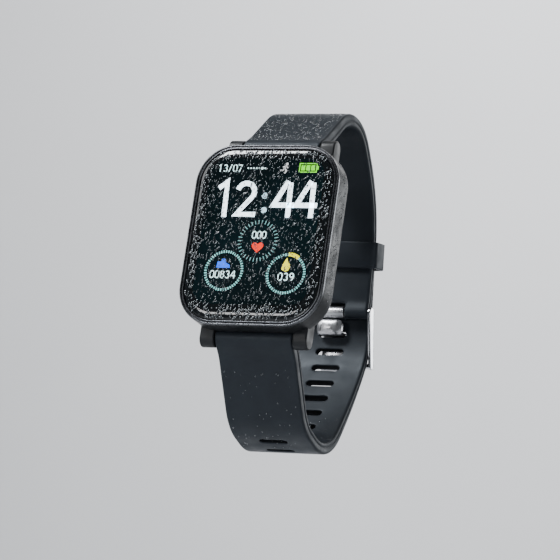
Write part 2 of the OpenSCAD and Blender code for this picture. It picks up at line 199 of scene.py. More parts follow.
class Parts:
    """Collects the points and faces of several closed shapes that make one piece."""

    def __init__(self):
        self.verts = []
        self.faces = []

    def add(self, verts, faces):
        base = len(self.verts)
        self.verts.extend(tuple(v) for v in verts)
        self.faces.extend(tuple(i + base for i in f) for f in faces)

    def prism(self, outline, x0, x1, place, bevel, steps, min_angle=25):
        """An (a, b) outline extruded along X with rounded edges; place maps (x, a, b) to the frame."""
        work = bmesh.new()
        ends = [[work.verts.new((x, a, b)) for a, b in outline] for x in (x0, x1)]
        work.faces.new(ends[0])
        work.faces.new(list(reversed(ends[1])))
        count = len(outline)
        for i in range(count):
            j = (i + 1) % count
            work.faces.new((ends[0][j], ends[0][i], ends[1][i], ends[1][j]))
        bmesh.ops.recalc_face_normals(work, faces=work.faces)
        sharp = [e for e in work.edges if e.calc_face_angle(0) > math.radians(min_angle)]
        bmesh.ops.bevel(work, geom=sharp, offset=bevel, segments=steps, profile=0.6,
                        affect="EDGES", clamp_overlap=True)
        work.verts.index_update()
        self.add([tuple(place(*v.co)) for v in work.verts], [[v.index for v in f.verts] for f in work.faces])
        work.free()

    def finish(self, name, body, material, sharp=None, smooth_faces=True):
        return add_object(name, self.verts, self.faces, body, material, sharp, smooth_faces)


def arc_points(cx, cy, r, a0, a1, steps):
    turns = [unit(a0 + (a1 - a0) * k / steps) for k in range(steps + 1)]
    return [(cx + r * c, cy + r * s) for c, s in turns]


def corner_arcs(x, low, high, r, steps):
    """Four quarter arcs, one after another, round the corner centres (+-x, high) and (+-x, low)."""
    corners = ((x, high, 0), (-x, high, 90), (-x, low, 180), (x, low, 270))
    return [p for cx, cy, a0 in corners for p in arc_points(cx, cy, r, a0, a0 + 90, steps)]


def ring_faces(count, loops, closed=False):
    """Quads between loops of count points each; closed joins the last loop to the first."""
    return [(a * count + i, a * count + (i + 1) % count,
             (a + 1) % loops * count + (i + 1) % count, (a + 1) % loops * count + i)
            for a in range(loops if closed else loops - 1) for i in range(count)]


def end_faces(count, loops):
    """The two faces that close the first and the last loop."""
    return [tuple(range(count)), tuple(range((loops - 1) * count, loops * count))]


def at_buckle(x, n, u):
    """From the buckle bar's own axes (x, outward, up along the strap) to the frame."""
    c, s = unit(LEAN)
    return Vector((x, BUCKLE_Y + n * c - u * s, BUCKLE_Z + n * s + u * c))


# ---------------- materials
class Look:
    """A Principled material with a few procedural layers; sockets are named with _ for a space."""

    def __init__(self, name, base, roughness, metallic=0.0, **sockets):
        self.mat = bpy.data.materials.new(name)
        self.mat.use_nodes = True
        self.tree = self.mat.node_tree
        self.bsdf = self.tree.nodes["Principled BSDF"]
        self.set("Base Color", (*base, 1.0))
        self.set("Roughness", roughness)
        self.set("Metallic", metallic)
        for socket, value in sockets.items():
            self.set(socket.replace("_", " "), value)
        self.normal = None
        self.coords = self.tree.nodes.new("ShaderNodeTexCoord")

    def set(self, socket, value):
        self.bsdf.inputs[socket].default_value = value

    def link(self, a, b):
        self.tree.links.new(a, b)

    def noise(self, scale, detail=3.0, stretch=(1, 1, 1)):
        mapping = self.tree.nodes.new("ShaderNodeMapping")
        mapping.inputs["Scale"].default_value = stretch
        self.link(self.coords.outputs["Object"], mapping.inputs["Vector"])
        tex = self.tree.nodes.new("ShaderNodeTexNoise")
        tex.inputs["Scale"].default_value = scale
        tex.inputs["Detail"].default_value = detail
        self.link(mapping.outputs["Vector"], tex.inputs["Vector"])
        return tex.outputs["Fac"]

    def ramp(self, fac, stops, socket):
        """Drives a socket by a noise, through a ramp of two (place, colour) stops."""
        node = self.tree.nodes.new("ShaderNodeValToRGB")
        for element, (place, colour) in zip(node.color_ramp.elements, stops):
            element.position = place
            element.color = (*colour, 1.0)
        self.link(fac, node.inputs["Fac"])
        self.link(node.outputs["Color"], self.bsdf.inputs[socket])
        return self

    def mottle(self, scale, low, high, detail=3.0):
        """Base colour that drifts between two shades."""
        return self.ramp(self.noise(scale, detail), [(0.35, low), (0.65, high)], "Base Color")

    def rough(self, scale, low, high, detail=3.0, stretch=(1, 1, 1)):
        """Roughness that drifts between two values."""
        stops = [(0.3, (low,) * 3), (0.7, (high,) * 3)]
        return self.ramp(self.noise(scale, detail, stretch), stops, "Roughness")

    def glow(self, scale, colour, dark, strength):
        """Emission that drifts between a colour and a darker shade of it, the darker patches being painted
        shade.
        """
        stops = [(0.34, tuple(c * dark for c in colour)), (0.56, colour)]
        self.set("Emission Strength", strength)
        return self.ramp(self.noise(scale), stops, "Emission Color")

    def bump(self, scale, detail, strength, depth_mm, stretch=(1, 1, 1)):
        height = self.noise(scale, detail, stretch)
        node = self.tree.nodes.new("ShaderNodeBump")
        node.inputs["Strength"].default_value = strength
        node.inputs["Distance"].default_value = depth_mm * MM
        self.link(height, node.inputs["Height"])
        if self.normal is not None:
            self.link(self.normal, node.inputs["Normal"])
        self.normal = node.outputs["Normal"]
        self.link(self.normal, self.bsdf.inputs["Normal"])
        return self


def lit(name, colour, strength, dark):
    """A lit part of the dial, with patches of painted shade standing in for the water over it dimming the
    light.
    """
    return Look(name, colour, 0.15, Specular_IOR_Level=0.3).glow(2600, colour, dark, strength).mat


def plain_part(name, base, roughness, metallic=0.0, depth=0.12):
    """A small internal part: a drifting colour, uneven gloss and a fine grain."""
    drift = 0.18
    low = tuple(c * (1 - drift) for c in base)
    high = tuple(min(c * (1 + drift), 1.0) for c in base)
    look = Look(name, base, roughness, metallic).mottle(300, low, high, detail=4)
    look.rough(700, roughness * 0.8, min(roughness * 1.25, 1.0))
    return look.bump(2200, 3.0, depth, 0.02).mat


RUBBER = (
    Look("strap_rubber", (0.0100, 0.0124, 0.0160), 0.5, Specular_IOR_Level=0.24, Sheen_Weight=0.05,
         Specular_Tint=(0.84, 0.92, 1.0, 1.0), Sheen_Roughness=0.45, Sheen_Tint=(0.55, 0.62, 0.72, 1.0))
    .mottle(90, (0.0085, 0.0105, 0.0140), (0.0120, 0.0150, 0.0195), detail=6)
    .rough(260, 0.40, 0.56, detail=4)
    .bump(5200, 2.0, 0.20, 0.03)
    .bump(420, 3.0, 0.08, 0.10)).mat
CASE = (
    Look("case_black", (0.006, 0.007, 0.009), 0.42, Specular_IOR_Level=0.26)
    .mottle(160, (0.004, 0.005, 0.006), (0.009, 0.010, 0.012), detail=5)
    .rough(340, 0.30, 0.52, detail=5)
    .bump(3800, 2.0, 0.35, 0.03)).mat
BEZEL = (
    Look("bezel_black", (0.085, 0.088, 0.096), 0.25, 0.9, Specular_IOR_Level=0.6)
    .rough(500, 0.18, 0.34, detail=4)
    .bump(2600, 2.0, 0.12, 0.02, (1, 0.2, 1))).mat
GLASS = (
    Look("cover_glass", (0.003, 0.004, 0.005), 0.06, Specular_IOR_Level=0.34, Coat_Weight=0.3,
         Coat_Roughness=0.04)
    .rough(700, 0.035, 0.11, detail=5)
    .bump(900, 3.0, 0.03, 0.05)).mat
SCREEN = (
    Look("screen_back", (0.001, 0.006, 0.008), 0.12, Specular_IOR_Level=0.3,
         Emission_Color=(0.02, 0.20, 0.26, 1.0), Emission_Strength=0.006)
    .mottle(45, (0.0004, 0.0022, 0.0030), (0.0010, 0.0060, 0.0080), detail=4)).mat
STEEL = (
    Look("buckle_steel", (0.66, 0.66, 0.68), 0.16, 1.0)
    .rough(900, 0.10, 0.24, 5, (0.25, 1, 1))
    .bump(2400, 3.0, 0.05, 0.01, (0.15, 1, 1))).mat
SATIN = (
    Look("tongue_steel", (0.50, 0.50, 0.52), 0.30, 1.0)
    .rough(1200, 0.24, 0.40, 4, (1, 1, 0.15))
    .bump(3000, 3.0, 0.10, 0.01, (1, 1, 0.12))).mat
BAR = (
    Look("spring_bar_steel", (0.46, 0.46, 0.47), 0.30, 1.0)
    .rough(1500, 0.22, 0.42, 3, (0.2, 1, 1))
    .bump(3600, 2.0, 0.08, 0.01, (0.1, 1, 1))).mat
# A bead of water on black is as dark as what lies under it, with sharp highlights
WATER = (
    Look("water_beads", (0.006, 0.008, 0.010), 0.05, Specular_IOR_Level=1.0, Coat_Weight=0.8,
         Specular_Tint=(0.86, 0.94, 1.0, 1.0), Coat_Roughness=0.03)
    .rough(2500, 0.03, 0.10)
    .bump(1800, 2.0, 0.05, 0.03)).mat
# The faces inside the slots: left dull by the mould, and with a base colour darker than the rubber that is
# painted shade in the slots
SLOT_WALL_SHADE = (
    Look("strap_slot_shade", (0.005, 0.006, 0.008), 0.9, Specular_IOR_Level=0.08)
    .mottle(300, (0.004, 0.005, 0.006), (0.007, 0.008, 0.010))
    .bump(3000, 2.0, 0.3, 0.03)).mat
TIN = plain_part("shield_steel", (0.60, 0.61, 0.63), 0.30, 1.0)
# CAD nodes that stay visible, by material
NODE_LOOKS = [
    (plain_part("rear_plastic", (0.020, 0.022, 0.025), 0.38), "rear_cover"),
    (plain_part("sensor_glass", (0.010, 0.011, 0.014), 0.08, depth=0.02), "sensor_window"),
    (plain_part("gold_contact", (0.78, 0.56, 0.22), 0.22, 1.0), "charging_pads"),
    (plain_part("board_green", (0.012, 0.11, 0.045), 0.42), "main_board sensor_board"),
    (plain_part("battery_wrap", (0.20, 0.24, 0.30), 0.34, 0.5), "battery"),
    (plain_part("flex_copper", (0.45, 0.17, 0.035), 0.36), "display_flex antenna_strip"),
    (plain_part("die_cast", (0.52, 0.54, 0.57), 0.42, 1.0), "inner_chassis"),
    (plain_part("seal_rubber", (0.030, 0.055, 0.13), 0.60), "glass_adhesive rear_gasket"),
    (plain_part("led_green", (0.10, 0.62, 0.16), 0.20), "sensor_leds"),
    (plain_part("detector", (0.05, 0.035, 0.10), 0.18), "display_panel light_detector"),
    (plain_part("rotor_metal", (0.42, 0.36, 0.22), 0.35, 1.0), "vibration_rotor"),
    (TIN, "board_shields vibration_motor_can charge_magnets"),
    (BAR, "motor_shaft rear_screws top_bar_tube top_release_tip bottom_bar_tube bottom_release_tip"),
    (BAR, "buckle_bar buckle_tip_left buckle_tip_right"),
]


def dress_cad_nodes():
    """Gives every CAD node that stays visible its material and slightly rounded edges."""
    for name, material in [(name, look) for look, names in NODE_LOOKS for name in names.split()]:
        obj = frame["nodes"][name]
        for slot in obj.material_slots:
            slot.material = material
        if not obj.material_slots:
            obj.data.materials.append(material)
        weld = obj.modifiers.new("weld", "WELD")
        weld.merge_threshold = 0.002 * MM
        round_off = obj.modifiers.new("round", "BEVEL")
        round_off.width = 0.08 * MM
        round_off.segments = 2
        round_off.limit_method = "ANGLE"
        round_off.angle_limit = math.radians(40)


# ---------------- strap routes
def arc(radius, turn):
    """A round stretch of a route as (length, turn in degrees); the strap turns to the right."""
    return (radius * math.radians(turn), -turn)


class Route:
    """A line of straight and round stretches in the (y, z) plane, with its outward side on the left."""

    def __init__(self, start, heading, segments):
        self.legs = []
        place = np.array(start, float)
        done = 0.0
        for length, turn in segments:
            self.legs.append((done, length, turn, place, heading))
            place = self.walk(place, heading, length, turn, length)
            heading += turn
            done += length
        self.length = done

    @staticmethod
    def walk(place, heading, length, turn, distance):
        h = math.radians(heading)
        if turn == 0:
            return place + distance * np.array([math.cos(h), math.sin(h)])
        radius = length / math.radians(turn)
        h2 = h + math.radians(turn) * distance / length
        return place + radius * np.array([math.sin(h2) - math.sin(h), math.cos(h) - math.cos(h2)])

    def at(self, s):
        """(point, outward, forward) at a distance; the line runs on straight past both ends."""
        done, length, turn, place, heading = self.legs[0]
        for leg in self.legs:
            if s >= leg[0]:
                done, length, turn, place, heading = leg
        d = s - done
        beyond = 0.0
        if d < 0:
            beyond, d = d, 0.0
        elif d > length:
            beyond, d = d - length, length
        point = self.walk(place, heading, length, turn, d)
        c, s = unit(heading + turn * d / length)
        forward = np.array([c, s])
        return point + beyond * forward, np.array([-s, c]), forward


def make_routes():
    """The routes of both halves and the length of the tail's arc, as the CAD model has them."""
    c, s = unit(TOP_HEADING)
    short = Route(
        (BAR_Y - TOP_OFFSET * s, BAR_Z + TOP_OFFSET * c), TOP_HEADING,
        [(13.58, 0), arc(13.2, 2 * TOP_HEADING), (4, 0),
         arc(UPPER_BACK_R, 90 - LEAN - TOP_HEADING), (BACK_RUN, 0)])
    point, out, _ = short.at(short.length - BACK_RUN)
    centre = point - UPPER_BACK_R * out
    tail_r = UPPER_BACK_R + TAIL_OUT - BAR_INSET
    heading = LEAN - 90 + TAIL_TURN
    c, s = unit(heading)
    start = centre + tail_r * np.array([-s, c])
    tail_arc = arc(tail_r, TAIL_TURN)
    long = Route(start, heading, [
        tail_arc, (BACK_RUN + 4.5, 0), arc(23, 28), arc(120, 10), arc(12.9, 71), (3, 0),
        arc(13.2, 40.3), (17.6, 0)])
    return short, long, tail_arc[0]


SHORT, LONG, TAIL_ARC = make_routes()
TONGUE_S = TAIL_ARC + BACK_RUN - TONGUE_U
# Thickness along each half as (distance, thickness)
SHORT_T = [(0, 3.3), (12, 3.3), (26, 2.8), (42, 2.8), (60, 2.3), (SHORT.length, 2.3)]
LONG_T = [(0, 2.0), (35, 2.0), (58, 2.8), (78, 2.8), (92, 3.3), (LONG.length, 3.3)]


# ---------------- strap halves
# Rows of points at these distances from every cut edge carry its rounding
RIM = [0.05, 0.14, 0.27, 0.45]
SIDE_FILLET = 0.5
SLOT_FILLET = 0.22
# Points closer than this to an edge are left out: rim rows to any edge, the grid to sides and slots
RIM_CLEAR = 0.03
GRID_SIDE_CLEAR = 0.6
GRID_SLOT_CLEAR = 0.45
GRID_STEP = 0.8
COLUMNS = np.linspace(-9, 9, 17)
# The side wall as (share of the thickness, inset): a shallow groove where the mould parted
SIDE_ROWS = [(0.55, 0.0), (0.60, 0.09), (0.68, 0.09), (0.73, 0.0)]
SHARED_EDGE = 1e-6
# Depth of a lever window's floor past the middle of the strap
POCKET_FLOOR = 0.2


def fillet(distance, radius):
    """How far a face drops at this distance from a rounded edge."""
    d = np.clip(distance, 0, radius)
    return radius - np.sqrt(np.maximum(radius ** 2 - (radius - d) ** 2, 0))


def segment_distance(points, loop_a, loop_b):
    """Smallest distance from each point to a set of segments, all in the flat pattern."""
    best = np.full(len(points), 1e9)
    for a, b in zip(loop_a, loop_b):
        along = b - a
        size = float(along @ along)
        if size < 1e-12:
            continue
        t = np.clip(((points - a) @ along) / size, 0, 1)
        gap = points - (a + t[:, None] * along)
        best = np.minimum(best, np.hypot(gap[:, 0], gap[:, 1]))
    return best


def inside(points, loop):
    """Even-odd test of points against one closed loop."""
    result = np.zeros(len(points), bool)
    x, y = points[:, 0], points[:, 1]
    for (x0, y0), (x1, y1) in zip(loop, np.roll(loop, -1, axis=0)):
        if y0 == y1:
            continue
        crosses = (y0 > y) != (y1 > y)
        result ^= crosses & (x < (x1 - x0) * (y - y0) / (y1 - y0) + x0)
    return result


def stadium(cs, half, radius, steps=7):
    """A slot's outline in the flat pattern, across the strap at distance cs."""
    flat = half - radius
    right, left = (flat, cs, radius, -90, 90, steps), (-flat, cs, radius, 90, 270, steps)
    upper = [(x, cs + radius) for x in np.linspace(flat, -flat, 7)[1:-1]]
    lower = [(x, cs - radius) for x in np.linspace(-flat, flat, 7)[1:-1]]
    return np.array(arc_points(*right) + upper + arc_points(*left) + lower)


def leftward(loop):
    """Unit directions to the left of a closed loop, at each of its points."""
    run = np.roll(loop, -1, axis=0) - np.roll(loop, 1, axis=0)
    run /= np.linalg.norm(run, axis=1)[:, None]
    return np.stack([-run[:, 1], run[:, 0]], axis=1)


class StrapHalf(namedtuple("Half", "route table outline cap_s bars slots pocket")):
    """One rubber half, laid out flat as (x, s), cut with its slots, then wrapped round its route."""

    def depths(self, s):
        """Depth of the outer and the inner face below the route line, with round ends on the bars."""
        outer, inner = 0.0, float(np.interp(s, *zip(*self.table)))
        for bar_s, depth, radius, side, reach in self.bars:
            past = (s - bar_s) * side
            if past >= 0:
                rise = math.sqrt(max(radius ** 2 - past ** 2, 0.0))
                return depth - rise, depth + rise
            share = 1 - smooth(-past / reach)
            outer += share * (depth - radius - outer)
            inner += share * (depth + radius - inner)
        return outer, inner

    def place(self, x, s, depth):
        point, out, _ = self.route.at(s)
        y, z = point - depth * out
        return (x, y, z)

    def build(self, rows_s):
        """The flat pattern cut into triangles, with its closed edges, caps and edge distances."""
        outline = self.outline
        nxt = np.roll(outline, -1, axis=0)
        on_cap = np.zeros(len(outline), bool)
        for cap in self.cap_s:
            on_cap |= np.abs(outline[:, 1] - cap) < SHARED_EDGE
        cap_edge = on_cap & np.roll(on_cap, -1) & (np.abs(outline[:, 1] - nxt[:, 1]) < SHARED_EDGE)
        side_a, side_b = outline[~cap_edge], nxt[~cap_edge]
        loops = [outline] + self.slots
        points = [p for loop in loops for p in loop]
        edges = []
        base = 0
        for loop in loops:
            edges += [(base + i, base + (i + 1) % len(loop)) for i in range(len(loop))]
            base += len(loop)
        extra = []
        for loop, sign in [(outline, 1)] + [(slot, -1) for slot in self.slots]:
            for gap in RIM if sign > 0 else RIM[:3]:
                extra.append(loop + gap * sign * leftward(loop))
        grid = np.array([(x, s) for s in rows_s for x in COLUMNS])
        pocket_step = 0.04 * np.sign(self.pocket.mean(0) - self.pocket)
        rims = np.vstack(extra + [self.pocket, self.pocket + pocket_step])
        slot_a = [p for slot in self.slots for p in slot]
        slot_b = [p for slot in self.slots for p in np.roll(slot, -1, axis=0)]

        def gaps(pts):
            return segment_distance(pts, side_a, side_b), segment_distance(pts, slot_a, slot_b)

        def in_solid(pts):
            good = inside(pts, outline)
            for slot in self.slots:
                good &= ~inside(pts, slot)
            return good

        side, slot = gaps(rims)
        rims = rims[in_solid(rims) & (side > RIM_CLEAR) & (slot > RIM_CLEAR)]
        side, slot = gaps(grid)
        grid = grid[in_solid(grid) & (side > GRID_SIDE_CLEAR) & (slot > GRID_SLOT_CLEAR)]
        points += list(rims) + list(grid)
        flat, _, faces, orig, _, _ = delaunay_2d_cdt(
            [Vector((float(p[0]), float(p[1]))) for p in points], edges, [], 0, 1e-5)
        flat = np.array([(v.x, v.y) for v in flat])
        faces = np.array([f for f in faces if len(f) == 3])
        faces = faces[in_solid(flat[faces].mean(axis=1))]
        index_of = {}
        for new, sources in enumerate(orig):
            for source in sources:
                index_of[source] = new
        return flat, faces, index_of, loops, cap_edge, gaps

    def mesh(self, rows_s):
        """The wrapped half: its points and faces, and the first face that lines a slot."""
        flat, faces, index_of, loops, cap_edge, gaps = self.build(rows_s)
        side, slot = gaps(flat)
        drop = np.maximum(fillet(side, SIDE_FILLET), fillet(slot, SLOT_FILLET))
        pocket_in = inside(flat, self.pocket * 0.999 + self.pocket.mean(0) * 0.001)
        verts, outer_id, inner_id, spans = [], [], [], []
        for i, (x, s) in enumerate(flat):
            top, bottom = self.depths(s)
            thick = bottom - top
            fall = min(drop[i], thick / 2)
            top, bottom = top + fall, bottom - fall
            if pocket_in[i]:
                bottom = min(bottom, sum(self.depths(s)) / 2 + POCKET_FLOOR)
            spans.append((top, bottom))
            outer_id.append(len(verts))
            verts.append(self.place(x, s, top))
            if thick < 1e-4:
                inner_id.append(outer_id[-1])
            else:
                inner_id.append(len(verts))
                verts.append(self.place(x, s, bottom))
        out = [tuple(outer_id[k] for k in f) for f in faces]
        out += [tuple(inner_id[k] for k in reversed(f)) for f in faces]
        base = 0
        cut_from = None
        for number, loop in enumerate(loops):
            count = len(loop)
            ids = [index_of[base + k] for k in range(count)]
            base += count
            cut_from = len(out) if number == 1 else cut_from
            rows = SIDE_ROWS if number == 0 else [(0.5, 0.0)]
            inward = leftward(loop)
            columns = []
            for k, i in enumerate(ids):
                top, bottom = spans[i]
                column = [outer_id[i]]
                for share, inset in rows:
                    if outer_id[i] == inner_id[i] or bottom - top < 0.3:
                        column.append(outer_id[i] if share < 0.6 else inner_id[i])
                        continue
                    x, s = loop[k] + inset * inward[k]
                    column.append(len(verts))
                    verts.append(self.place(x, s, top + share * (bottom - top)))
                column.append(inner_id[i])
                columns.append(column)
            for k in range(count):
                a, b = columns[k], columns[(k + 1) % count]
                if number == 0 and cap_edge[k]:
                    continue
                for r in range(len(a) - 1):
                    ring = [a[r], b[r], b[r + 1], a[r + 1]]
                    clean = [v for j, v in enumerate(ring) if v != ring[j - 1]]
                    if len(set(clean)) >= 3:
                        out.append(tuple(dict.fromkeys(clean)))
        return verts, out, cut_from


def cap_rows(bar_s, radius, side, steps=9):
    """Distances that round off a barrel end evenly."""
    return [bar_s + side * radius * unit(90 * k / steps)[1] for k in range(steps + 1)]


def lever_window(bar_s):
    """The window in the inner face that the spring bar's lever shows in."""
    x0, x1 = WINDOW_X
    low, high = bar_s - WINDOW_HALF, bar_s + WINDOW_HALF
    return np.array([(x0, low), (x1, low), (x1, high), (x0, high)])


def blend_over(obj, route, joint):
    """Finds where the route passes nearest the bending line, then bakes the half's placement into its mesh.
    """
    y, z = joint_yz(joint)
    marks = np.linspace(0, route.length, 400)
    near = min(marks, key=lambda s: float(np.hypot(*(route.at(s)[0] - (y, z)))))
    _, _, forward = route.at(near)
    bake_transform(obj)


def short_half():
    end = SHORT.length
    first, last = -LUG_BARREL_R, end + END_BARREL_R
    notch_half, notch_s = NOTCH_HALF, end - NOTCH_TOP
    rows = sorted(cap_rows(0, LUG_BARREL_R, -1) + list(np.arange(GRID_STEP, end - 0.4, GRID_STEP))
                  + cap_rows(end, END_BARREL_R, 1))
    right = [(STRAP_HALF, s) for s in rows]
    left = [(-STRAP_HALF, s) for s in reversed(rows)]
    far = [(x, last) for x in np.linspace(STRAP_HALF, notch_half, 6)[1:]]
    in_rows = [s for s in reversed(rows) if notch_s + 0.5 < s < last - SHARED_EDGE]
    notch = [(notch_half, s) for s in in_rows] + [(notch_half - 0.15, notch_s + 0.12)]
    notch += [(x, notch_s) for x in np.linspace(notch_half - 0.5, -notch_half + 0.5, 9)]
    notch += [(-notch_half + 0.15, notch_s + 0.12)] + [(-notch_half, s) for s in reversed(in_rows)]
    far_left = [(x, last) for x in np.linspace(-notch_half, -STRAP_HALF, 6)[:-1]]
    near = [(x, first) for x in np.linspace(-STRAP_HALF, STRAP_HALF, 17)[1:-1]]
    outline = np.array(right + far + notch + far_left + left + near)
    bars = [(0.0, TOP_OFFSET, LUG_BARREL_R, -1, 4.0), (end, BAR_INSET, END_BARREL_R, 1, 3.0)]
    half = StrapHalf(SHORT, SHORT_T, outline, (first, last), bars, [], lever_window(0.0))
    verts, faces, _ = half.mesh([s for s in rows if first < s < last])
    obj = add_object("strap_short_half", verts, faces, None, RUBBER)
    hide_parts("strap_short_arch", "strap_short_back")
    blend_over(obj, SHORT, "upper_strap_bend")
    return half


def tail_half(s):
    """Half width of the long half at a distance from its tip."""
    return TAIL_TIP_HALF + (STRAP_HALF - TAIL_TIP_HALF) * smooth(s / TAIL_TAPER)


def long_half():
    bar_s = LONG.length
    last = bar_s + LUG_BARREL_R
    rows = list(np.arange(TAIL_TIP_R + 0.4, bar_s - 0.4, GRID_STEP)) + cap_rows(bar_s, LUG_BARREL_R, 1)
    flat = TAIL_TIP_HALF - TAIL_TIP_R
    tip = arc_points(-flat, TAIL_TIP_R, TAIL_TIP_R, 180, 270, 9)
    tip += [(x, 0.0) for x in np.linspace(-flat, flat, 5)[1:-1]]
    tip += arc_points(flat, TAIL_TIP_R, TAIL_TIP_R, 270, 360, 9)
    right = [(tail_half(s), s) for s in rows]
    left = [(-tail_half(s), s) for s in reversed(rows)]
    far = [(x, last) for x in np.linspace(STRAP_HALF, -STRAP_HALF, 17)[1:-1]]
    outline = np.array(tip + right + far + left)
    slots = [stadium(TONGUE_S + k * SLOT_PITCH, SLOT_HALF, SLOT_R) for k in SLOTS]
    bars = [(bar_s, BOTTOM_OFFSET, LUG_BARREL_R, 1, 5.0)]
    half = StrapHalf(LONG, LONG_T, outline, (last,), bars, slots, lever_window(bar_s))
    verts, faces, cut_from = half.mesh([s for s in rows if s < last])
    obj = add_object("strap_long_half", verts, faces, None, RUBBER)
    # The slot walls take the darker material, which paints shade into the slots
    obj.data.materials.append(SLOT_WALL_SHADE)
    for poly in obj.data.polygons[cut_from:]:
        poly.material_index = 1
    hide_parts("strap_long_back", "strap_long_lower")
    blend_over(obj, LONG, "lower_strap_bend")
    return half


# ---------------- case
def rim_loop(reach, y, per_corner=14):
    """A rounded rectangle of points round the case at one reach past its corner centres."""
    return [(x, y, z) for x, z in corner_arcs(CORE_X, -CORE_Z, CORE_Z, reach, per_corner)]


def rim_sweep(profile, closed=False):
    """A (reach, y) profile carried round the case: a ring if closed, or else a capped block."""
    loops = [rim_loop(reach, y) for reach, y in profile]
    count = len(loops[0])
    faces = ring_faces(count, len(loops), closed)
    if not closed:
        faces += end_faces(count, len(loops))
    return [v for loop in loops for v in loop], faces


def lug_outline():
    """Side view of a lug as (y, z) from the case out to its round end, for the upper pair."""
    inner = CORE_Z + CASE_CORNER - BACK_CURVE_IN + 0.05
    end = arc_points(BAR_Y, BAR_Z, LUG_R, 0, 180, 14)
    return [(BAR_Y + LUG_R, inner)] + end + [(BAR_Y - LUG_R, inner)]


def case_shell():
    parts = Parts()
    curve = [(CASE_CORNER - BACK_CURVE_IN * (1 - c), BACK_CURVE_Y + (CASE_BACK_Y - BACK_CURVE_Y) * s)
             for c, s in arc_points(0, 0, 1, 0, 90, 10)]
    opening, seat = CASE_CORNER - BACK_OPENING_IN, CASE_CORNER - FRONT_SEAT_W
    lip_y = CASE_BACK_Y - BACK_LIP_T
    profile = [(seat, CASE_FRONT_Y + 0.02), (CASE_CORNER - 0.18, CASE_FRONT_Y + 0.02),
               (CASE_CORNER, CASE_FRONT_Y + 0.2), (CASE_CORNER, CASE_FRONT_Y + 1.2),
               (CASE_CORNER, (CASE_FRONT_Y + BACK_CURVE_Y) / 2)]
    profile += curve + [(opening, CASE_BACK_Y), (opening, lip_y), (seat, lip_y)]
    parts.add(*rim_sweep(profile, closed=True))
    for side in (-1, 1):
        for end in (-1, 1):
            x0, x1 = sorted((side * LUG_IN, side * (LUG_IN + LUG_T)))
            parts.prism(lug_outline(), x0, x1, lambda x, y, z, e=end: Vector((x, y, e * z)), 0.35, 3)
    obj = parts.finish("case_shell", "case", CASE, 40)
    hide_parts("case_body")


# The bezel's section as (inset from the case's side, depth below its front): a rim, a groove, a rim
BEZEL_SECTION = [
    (0, 0.42), (0.03, 0.22), (0.11, 0.08), (0.24, 0.01), (0.36, 0.03), (0.43, 0.14), (0.47, 0.46),
    (0.68, 0.50), (0.74, 0.16), (0.81, 0.04), (0.92, 0), (1.02, 0.05), (1.08, 0.20)]
BEZEL_W = 1.1


def bezel_ring():
    profile = [(CASE_CORNER, CASE_FRONT_Y)]
    profile += [(CASE_CORNER - inset, FRONT_Y + depth) for inset, depth in BEZEL_SECTION]
    profile += [(CASE_CORNER - BEZEL_W, CASE_FRONT_Y)]
    verts, faces = rim_sweep(profile, closed=True)
    obj = add_object("front_bezel_ring", verts, faces, "case", BEZEL, 60)
    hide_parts("front_bezel")


def glass_y(reach):
    """Height of the curved-edge glass at a reach past the corner centres."""
    share = max(0.0, (reach - (GLASS_REACH - GLASS_EDGE)) / GLASS_EDGE)
    return GLASS_FRONT_Y + GLASS_DROP * share ** 2.4


def cover_glass():
    reaches = [0.2, 1.5, 3.0, 4.5] + list(np.linspace(GLASS_REACH - GLASS_EDGE, GLASS_REACH - 0.12, 12))
    edge_y = glass_y(GLASS_REACH)
    profile = [(r, glass_y(r)) for r in reaches]
    profile += [(GLASS_REACH - 0.03, edge_y + 0.05), (GLASS_REACH, edge_y + 0.14),
                (GLASS_REACH, GLASS_BACK_Y)]
    verts, faces = rim_sweep(profile)
    obj = add_object("cover_glass_pane", verts, faces, "case", GLASS, 50)
    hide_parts("cover_glass")


# ---------------- dial
# Places on the dial are (x, z) from the case's centre
DIAL_LIFT = 0.012
DIAL_T = 0.01
SLANT = -0.04


def plate(parts, outline, lift=DIAL_LIFT, thick=DIAL_T):
    """A thin lit plate on the flat of the glass, from an (x, z) outline."""
    count = len(outline)
    y = GLASS_FRONT_Y - lift
    verts = [(x, y, z) for x, z in outline] + [(x, y + thick, z) for x, z in outline]
    faces = [tuple(range(count)), tuple(range(2 * count - 1, count - 1, -1))]
    parts.add(verts, faces + ring_faces(count, 2))


def stroke(parts, points, width, closed=False):
    """A mitred line of one width through (x, z) points, as one row of thin boxes."""
    same = 1e-4
    pts = [np.array(p, float) for p in points]
    pts = [p for i, p in enumerate(pts) if i == 0 or np.linalg.norm(p - pts[i - 1]) > same]
    if closed and np.linalg.norm(pts[0] - pts[-1]) < same:
        pts.pop()
    count = len(pts)
    y = GLASS_FRONT_Y - DIAL_LIFT
    verts = []
    for i, p in enumerate(pts):
        a = p - pts[i - 1] if i or closed else pts[1] - p
        b = pts[(i + 1) % count] - p if i < count - 1 or closed else a
        a, b = a / np.linalg.norm(a), b / np.linalg.norm(b)
        n = np.array([-(a + b)[1], (a + b)[0]])
        n /= np.linalg.norm(n)
        reach = width / 2 / max(float(n @ np.array([-a[1], a[0]])), 0.5)
        for side in (1, -1):
            x, z = p + side * reach * n
            verts += [(x, y, z), (x, y + DIAL_T, z)]
    faces = []
    for i in range(count if closed else count - 1):
        a, b = 4 * i, 4 * ((i + 1) % count)
        faces += [(a, a + 2, b + 2, b), (a + 1, b + 1, b + 3, a + 3),
                  (a, b, b + 1, a + 1), (a + 2, a + 3, b + 3, b + 2)]
    if not closed:
        last = 4 * (count - 1)
        faces += [(0, 1, 3, 2), (last, last + 2, last + 3, last + 1)]
    parts.add(verts, faces)


def disc(parts, cx, cz, r, steps=20):
    plate(parts, arc_points(cx, cz, r, 0, 360, steps)[:-1])


